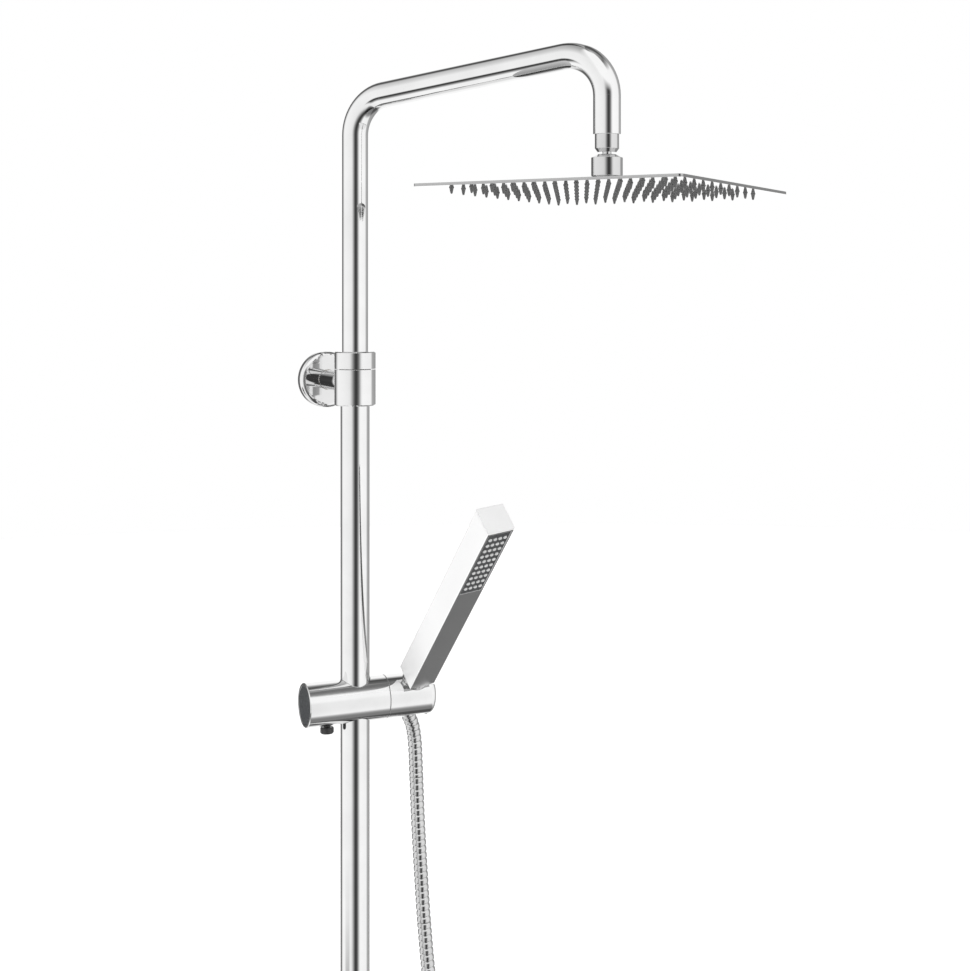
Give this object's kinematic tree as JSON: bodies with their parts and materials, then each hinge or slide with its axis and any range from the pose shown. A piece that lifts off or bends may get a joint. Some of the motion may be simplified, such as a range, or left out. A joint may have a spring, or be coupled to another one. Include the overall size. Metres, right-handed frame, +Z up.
{
  "type": "rainfall shower column",
  "caption": "Wall-mounted chrome shower column: square rain head on a swivelling arm, telescopic riser, sliding stick hand shower, hose and foot diverter.",
  "frame": {"origin": "centre of the wall plate on the wall face", "axes": "+Z up along the riser, -Y out of the wall into the room, +X to the right as seen from the room"},
  "size_m": [0.3896, 0.4763, 1.6459],
  "materials": {
    "wall_plate": "satin",
    "wall_cover": "polished",
    "bracket_stem": "polished",
    "stem_grub_screw": "satin",
    "collar_body": "polished",
    "lower_tube": "polished",
    "clamp_collet": "matt",
    "diverter_body": "polished",
    "diverter_cartridge": "satin",
    "inlet_union": "satin",
    "inlet_washer": "matt",
    "outlet_nipple": "satin",
    "outlet_nut": "polished",
    "outlet_washer": "matt",
    "foot_seal": "matt",
    "hose_lower": "satin",
    "lock_ring": "polished",
    "guide_sleeve": "matt",
    "guide_o_rings": "matt",
    "upper_tube": "polished",
    "arm_connector": "polished",
    "ball_stem": "polished",
    "seat_ring_upper": "matt",
    "seat_ring_lower": "matt",
    "ball_nut": "polished",
    "head_inlet_washer": "matt",
    "head_shell": "polished",
    "head_spray_face": "polished",
    "head_nozzles": "matt",
    "slider_bush": "matt",
    "hose_middle": "satin",
    "slider_body": "polished",
    "slider_end_cap": "gloss",
    "brake_spring": "satin",
    "pivot_axle": "satin",
    "pivot_washer": "matt",
    "pivot_screw": "satin",
    "hose_upper": "satin",
    "brake_shoe": "matt",
    "release_button": "gloss",
    "holder": "polished",
    "hose_tail": "satin",
    "hand_shell": "polished",
    "hand_end_cap": "polished",
    "hand_spray_plate": "gloss",
    "hand_nozzles": "matt",
    "hand_tail": "satin",
    "hand_core": "matt",
    "hose_cone_nut": "polished",
    "hose_washer": "matt",
    "diverter_knob": "polished",
    "knob_grub_screw": "satin",
    "inlet_nut": "polished"
  },
  "bodies": {
    "root": {"wall_plate": "wall_plate", "wall_cover": "wall_cover", "bracket_stem": "bracket_stem", "stem_grub_screw": "stem_grub_screw", "collar_body": "collar_body", "lower_tube": "lower_tube", "clamp_collet": "clamp_collet", "diverter_body": "diverter_body", "diverter_cartridge": "diverter_cartridge", "inlet_union": "inlet_union", "inlet_washer": "inlet_washer", "outlet_nipple": "outlet_nipple", "outlet_nut": "outlet_nut", "outlet_washer": "outlet_washer", "foot_seal": "foot_seal", "hose_lower": "hose_lower"},
    "clamp_ring": {"lock_ring": "lock_ring"},
    "guide": {"guide_sleeve": "guide_sleeve", "guide_o_rings": "guide_o_rings"},
    "arm": {"upper_tube": "upper_tube", "arm_connector": "arm_connector", "ball_stem": "ball_stem"},
    "seat_upper": {"seat_ring_upper": "seat_ring_upper"},
    "seat_lower": {"seat_ring_lower": "seat_ring_lower"},
    "rain_head": {"ball_nut": "ball_nut", "head_inlet_washer": "head_inlet_washer", "head_shell": "head_shell", "head_spray_face": "head_spray_face", "head_nozzles": "head_nozzles"},
    "bush": {"slider_bush": "slider_bush", "hose_middle": "hose_middle"},
    "slider": {"slider_body": "slider_body", "slider_end_cap": "slider_end_cap", "brake_spring": "brake_spring", "pivot_axle": "pivot_axle", "pivot_washer": "pivot_washer", "pivot_screw": "pivot_screw", "hose_upper": "hose_upper"},
    "brake": {"brake_shoe": "brake_shoe"},
    "button": {"release_button": "release_button"},
    "holder": {"holder": "holder", "hose_tail": "hose_tail"},
    "hand_shower": {"hand_shell": "hand_shell", "hand_end_cap": "hand_end_cap", "hand_spray_plate": "hand_spray_plate", "hand_nozzles": "hand_nozzles", "hand_tail": "hand_tail", "hand_core": "hand_core", "hose_cone_nut": "hose_cone_nut", "hose_washer": "hose_washer"},
    "diverter_handle": {"diverter_knob": "diverter_knob", "knob_grub_screw": "knob_grub_screw"},
    "supply_nut": {"inlet_nut": "inlet_nut"}
  },
  "joints": [
    {"name": "tube_slide", "type": "slide", "parent": "root", "child": "guide", "axis": [0, 0, 1], "range_m": [-0.15, 0.05]},
    {"name": "arm_swivel", "type": "hinge", "parent": "guide", "child": "arm", "pos_m": [0, -0.096, 0.272], "axis": [0, 0, 1], "range_deg": [-103.7, 26.3]},
    {"name": "lock_ring_turn", "type": "hinge", "parent": "root", "child": "clamp_ring", "pos_m": [0, -0.096, 0.022], "axis": [0, 0, 1], "range_deg": [0, 90]},
    {"name": "head_tilt_front", "type": "hinge", "parent": "arm", "child": "seat_upper", "pos_m": [0.16569, -0.30281, 0.2025], "axis": [0.7804, 0.6252, 0], "range_deg": [-8, 8]},
    {"name": "head_tilt_side", "type": "hinge", "parent": "seat_upper", "child": "seat_lower", "pos_m": [0.16569, -0.30281, 0.2025], "axis": [0.6252, -0.7804, 0], "range_deg": [-8, 8]},
    {"name": "head_spin", "type": "hinge", "parent": "seat_lower", "child": "rain_head", "pos_m": [0.16569, -0.30281, 0.2025], "axis": [0, 0, 1], "continuous": true},
    {"name": "slider_slide", "type": "slide", "parent": "root", "child": "bush", "axis": [0, 0, 1], "range_m": [-0.25, 0.15], "deforming": ["hose_lower"]},
    {"name": "slider_swivel", "type": "hinge", "parent": "bush", "child": "slider", "pos_m": [0, -0.096, -0.304], "axis": [0, 0, 1], "range_deg": [-45, 45], "deforming": ["hose_middle"]},
    {"name": "release_button_press", "type": "slide", "parent": "slider", "child": "button", "axis": [0, 0, 1], "range_m": [0, 0.0015], "stiffness_N_per_m": 900},
    {"name": "brake_shoe_slide", "type": "slide", "parent": "slider", "child": "brake", "axis": [-1, 0, 0], "range_m": [0, 0.0006]},
    {"name": "holder_tilt", "type": "hinge", "parent": "slider", "child": "holder", "pos_m": [0.057, -0.096, -0.304], "axis": [1, 0, 0], "range_deg": [-45, 25], "deforming": ["hose_upper"]},
    {"name": "hand_turn", "type": "hinge", "parent": "holder", "child": "hand_shower", "pos_m": [0.057, -0.09277, -0.30045], "axis": [0, -0.7396, 0.673], "continuous": true},
    {"name": "diverter_turn", "type": "hinge", "parent": "root", "child": "diverter_handle", "pos_m": [0, -0.096, -0.92], "axis": [0, -1, 0], "range_deg": [0, 90]},
    {"name": "inlet_nut_turn", "type": "hinge", "parent": "root", "child": "supply_nut", "pos_m": [0, -0.096, -0.975], "axis": [0, 0, 1], "continuous": true}
  ],
  "couplings": [
    {"joint": "brake_shoe_slide", "follows": "release_button_press", "ratio": 0.4}
  ]
}
